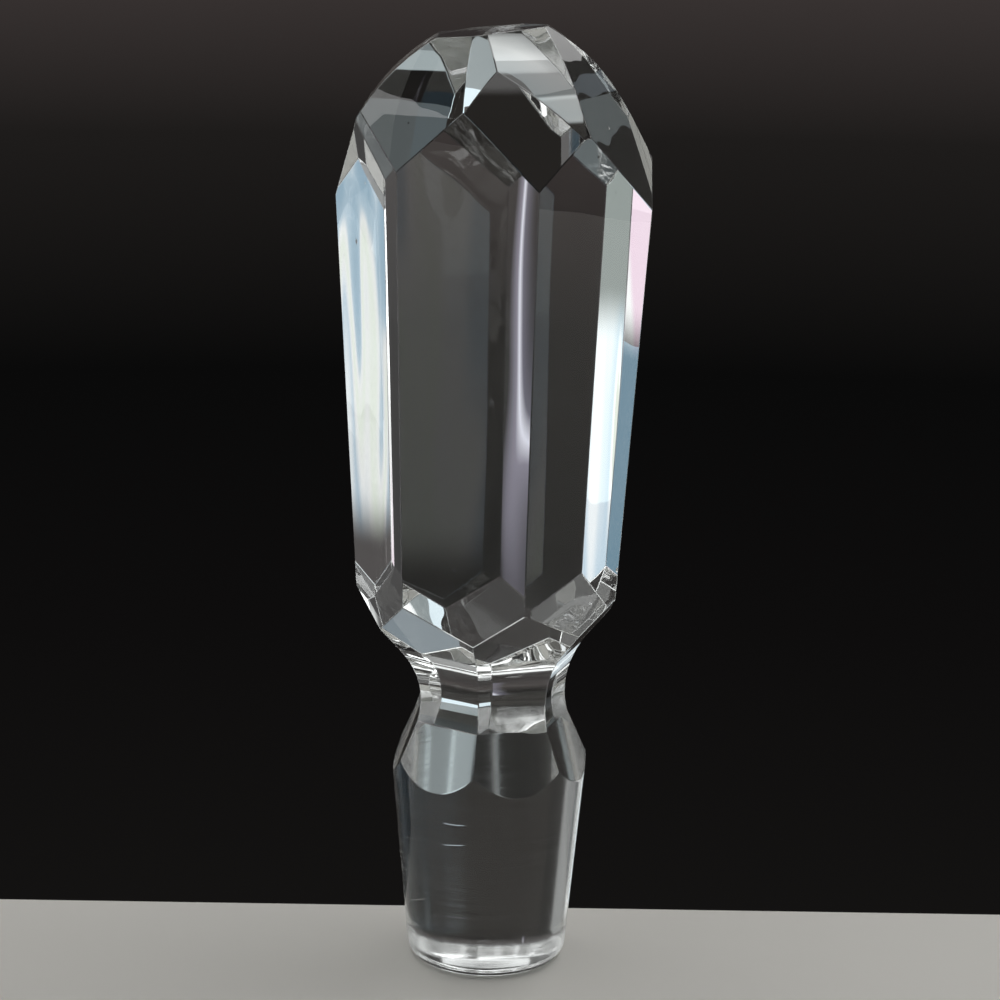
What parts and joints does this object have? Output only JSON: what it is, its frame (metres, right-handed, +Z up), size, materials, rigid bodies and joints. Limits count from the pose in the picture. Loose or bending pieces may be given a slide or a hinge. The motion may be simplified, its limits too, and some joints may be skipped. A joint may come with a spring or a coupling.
{
  "type": "glass stopper",
  "caption": "Solid cut-crystal decanter stopper with a faceted dome, a tapering panelled body, a hollow-cut neck and a round tapered plug.",
  "frame": {"origin": "middle of the plug's flat lower end", "axes": "+Z up along the plug's axis, toward the dome; one flat panel of the body faces -Y"},
  "size_m": [0.0398, 0.0395, 0.1202],
  "materials": {
    "crystal": "polished clear lead crystal"
  },
  "bodies": {
    "root": {"stopper": "crystal"}
  },
  "joints": []
}
